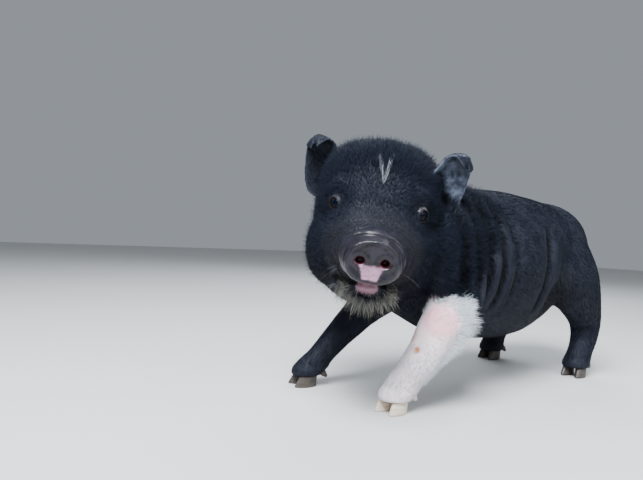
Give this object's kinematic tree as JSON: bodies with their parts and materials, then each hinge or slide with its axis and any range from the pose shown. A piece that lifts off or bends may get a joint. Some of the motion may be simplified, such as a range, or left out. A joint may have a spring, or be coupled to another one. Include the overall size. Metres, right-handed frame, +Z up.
{
  "type": "miniature piglet figure",
  "caption": "Life-size still model of a young black miniature pig with a white foreleg, standing with its head turned to one side.",
  "frame": {"origin": "on the floor, below the centre of the animal's bounding box", "axes": "+X forward along the spine, +Y to the animal's left, +Z up"},
  "size_m": [0.268, 0.1036, 0.1537],
  "materials": {
    "black_coat": "short black hair with a soft sheen",
    "white_coat": "short white hair over pink skin",
    "snout_skin": "bare, smooth, damp",
    "pink_skin": "bare, wet gloss",
    "eye": "wet gloss",
    "dark_horn": "worn horn",
    "pale_horn": "worn horn"
  },
  "bodies": {
    "root": {"trunk": "black_coat", "neck_and_shoulders": "black_coat", "head": "black_coat", "lower_jaw": "black_coat", "lower_lip": "pink_skin", "snout_disc": "snout_skin", "eye_left": "eye", "eye_right": "eye", "ear_left": "black_coat", "ear_right": "black_coat", "tail": "black_coat", "foreleg_left_upper": "white_coat", "foreleg_left_lower": "white_coat", "foreleg_left_claw_left": "pale_horn", "foreleg_left_claw_right": "pale_horn", "foreleg_left_dewclaw_left": "pale_horn", "foreleg_left_dewclaw_right": "pale_horn", "foreleg_right_upper": "black_coat", "foreleg_right_lower": "black_coat", "foreleg_right_claw_left": "dark_horn", "foreleg_right_claw_right": "dark_horn", "foreleg_right_dewclaw_left": "dark_horn", "foreleg_right_dewclaw_right": "dark_horn", "hind_leg_left_upper": "black_coat", "hind_leg_left_lower": "black_coat", "hind_leg_left_claw_left": "dark_horn", "hind_leg_left_claw_right": "dark_horn", "hind_leg_left_dewclaw_left": "dark_horn", "hind_leg_left_dewclaw_right": "dark_horn", "hind_leg_right_upper": "black_coat", "hind_leg_right_lower": "black_coat", "hind_leg_right_claw_left": "dark_horn", "hind_leg_right_claw_right": "dark_horn", "hind_leg_right_dewclaw_left": "dark_horn", "hind_leg_right_dewclaw_right": "dark_horn"}
  },
  "joints": []
}
